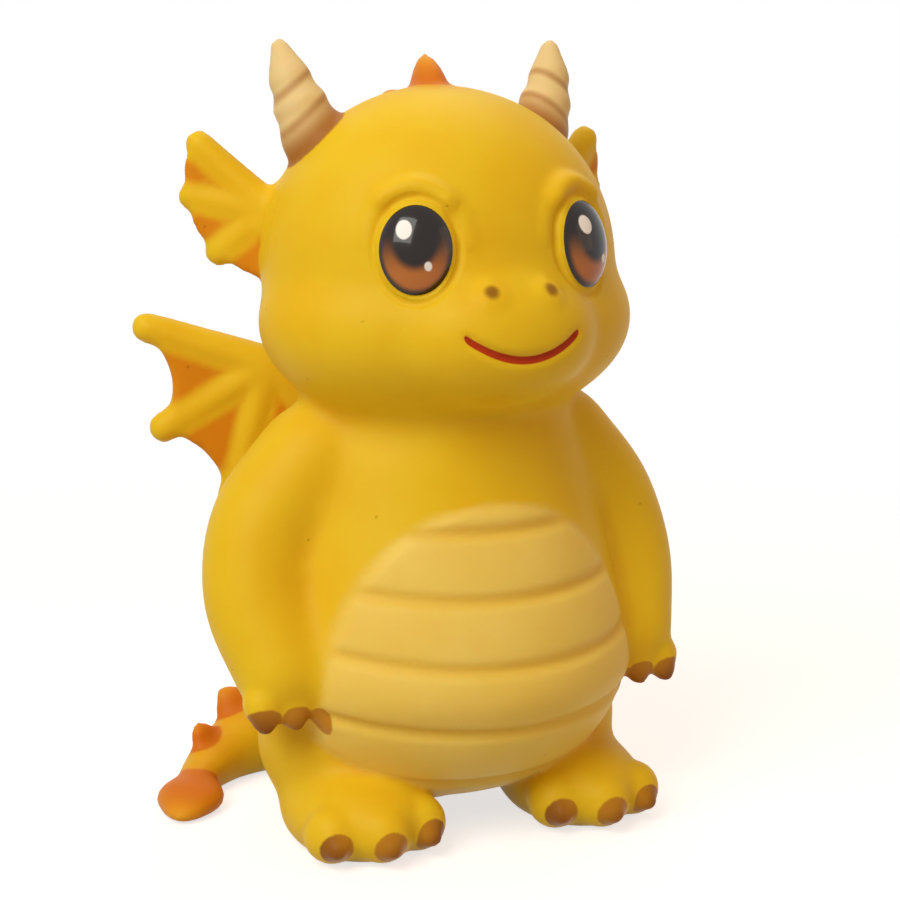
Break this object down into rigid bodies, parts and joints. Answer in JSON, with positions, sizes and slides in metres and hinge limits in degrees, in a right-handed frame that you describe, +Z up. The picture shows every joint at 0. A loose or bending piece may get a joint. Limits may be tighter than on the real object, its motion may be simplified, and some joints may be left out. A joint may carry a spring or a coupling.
{
  "type": "squishy dragon toy",
  "caption": "Palm-sized squeeze toy cast in one piece of slow-rising foam: a chubby standing baby dragon with horns, ear fins, small wings and a curled tail.",
  "frame": {"origin": "on the ground, under the middle of the figure's box", "axes": "+Z up, the figure faces -Y, and its left hand is on the +X side"},
  "size_m": [0.0826, 0.0674, 0.12],
  "materials": {
    "foam_skin": "satin"
  },
  "bodies": {
    "root": {"foam_dragon": "foam_skin"}
  },
  "joints": []
}
